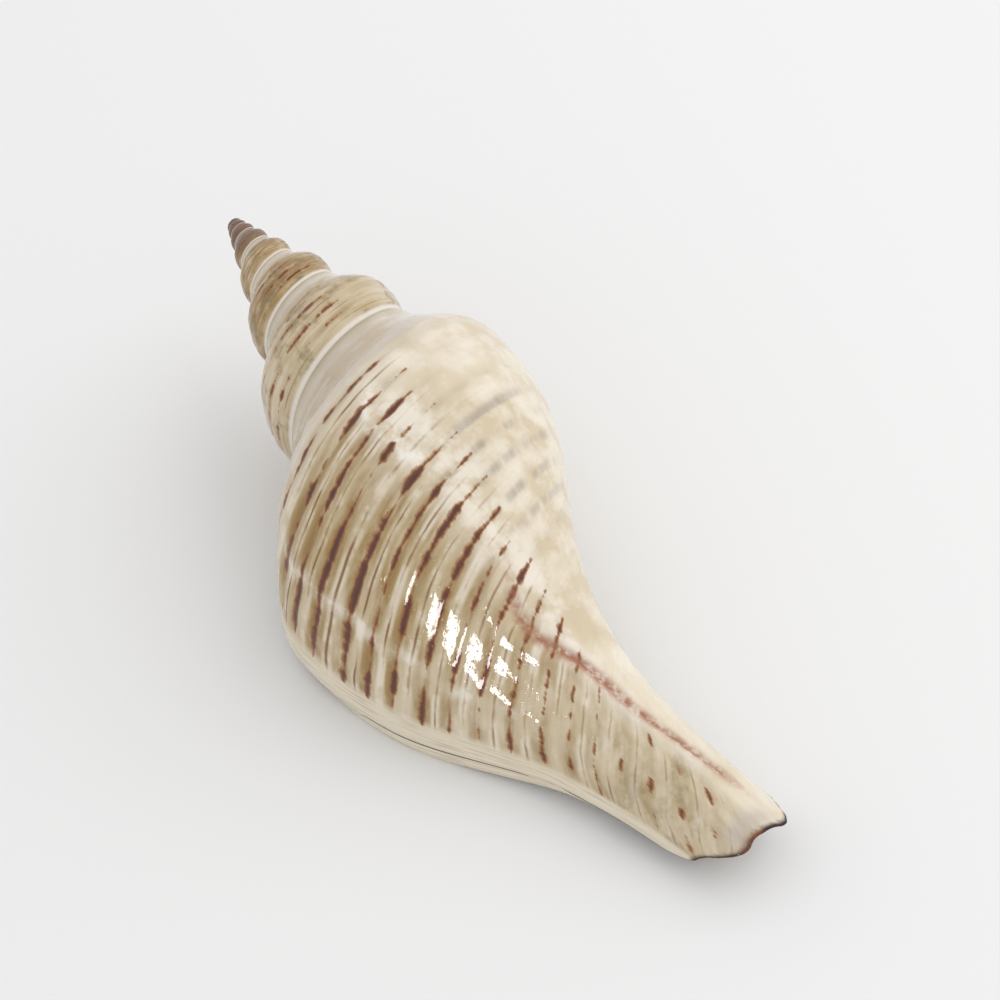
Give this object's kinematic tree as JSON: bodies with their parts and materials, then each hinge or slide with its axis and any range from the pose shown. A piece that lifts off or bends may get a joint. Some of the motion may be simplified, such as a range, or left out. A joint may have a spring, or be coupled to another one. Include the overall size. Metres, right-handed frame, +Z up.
{
  "type": "ceramic spindle shell ornament",
  "caption": "Glazed ceramic ornament in the form of a tall spindle shell, with a long spire, a ribbed body whorl, an open aperture below and a long canal; it lies on a shelf or table.",
  "frame": {"origin": "on the surface the ornament lies on, under the middle of its bounding box", "axes": "+X from the pointed apex to the open canal, +Z up, -Y on the side of the outer lip"},
  "size_m": [0.249, 0.0946, 0.0716],
  "materials": {
    "glaze": "glossy"
  },
  "bodies": {
    "root": {"shell": "glaze"}
  },
  "joints": []
}
